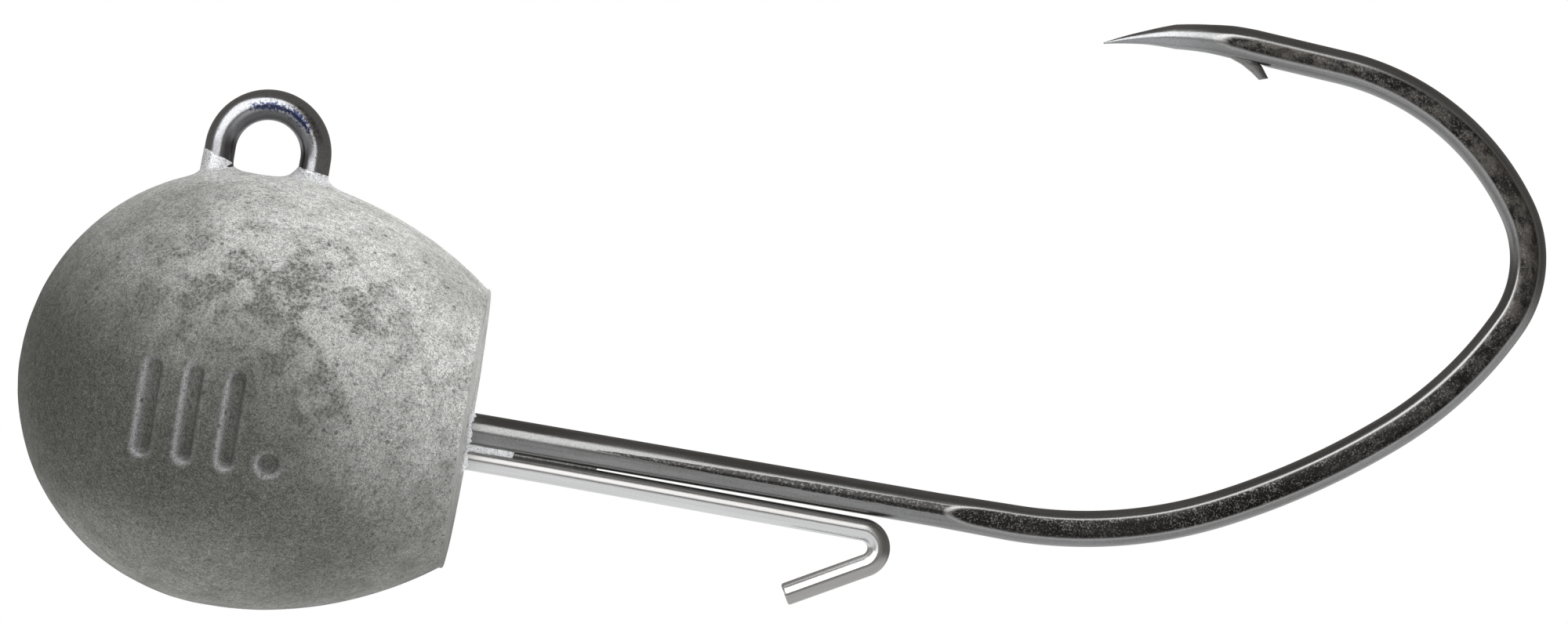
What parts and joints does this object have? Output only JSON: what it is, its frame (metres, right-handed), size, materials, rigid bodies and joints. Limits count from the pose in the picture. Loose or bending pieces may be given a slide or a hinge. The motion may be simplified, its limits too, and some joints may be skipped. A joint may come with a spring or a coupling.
{
  "type": "jig head",
  "caption": "Ball jig head for soft baits: a lead weight cast round a wide-gape hook with an upright line eye, and a doubled-back wire keeper under the shank.",
  "frame": {"origin": "centre of the line eye's ring, where the jig hangs from the line", "axes": "+X along the hook's shank from the weight towards the bend, +Z from the weight towards the eye and the side of the hook's point, +Y square to the plane of the hook"},
  "size_m": [0.0459, 0.0134, 0.023],
  "materials": {
    "lead": "matt cast lead, mottled and finely pitted",
    "black_nickel": "black nickel plate on high-carbon steel, smoky and slightly streaked",
    "spring_wire": "bright drawn stainless wire"
  },
  "bodies": {
    "root": {"head": "lead", "hook": "black_nickel", "keeper": "spring_wire"}
  },
  "joints": []
}
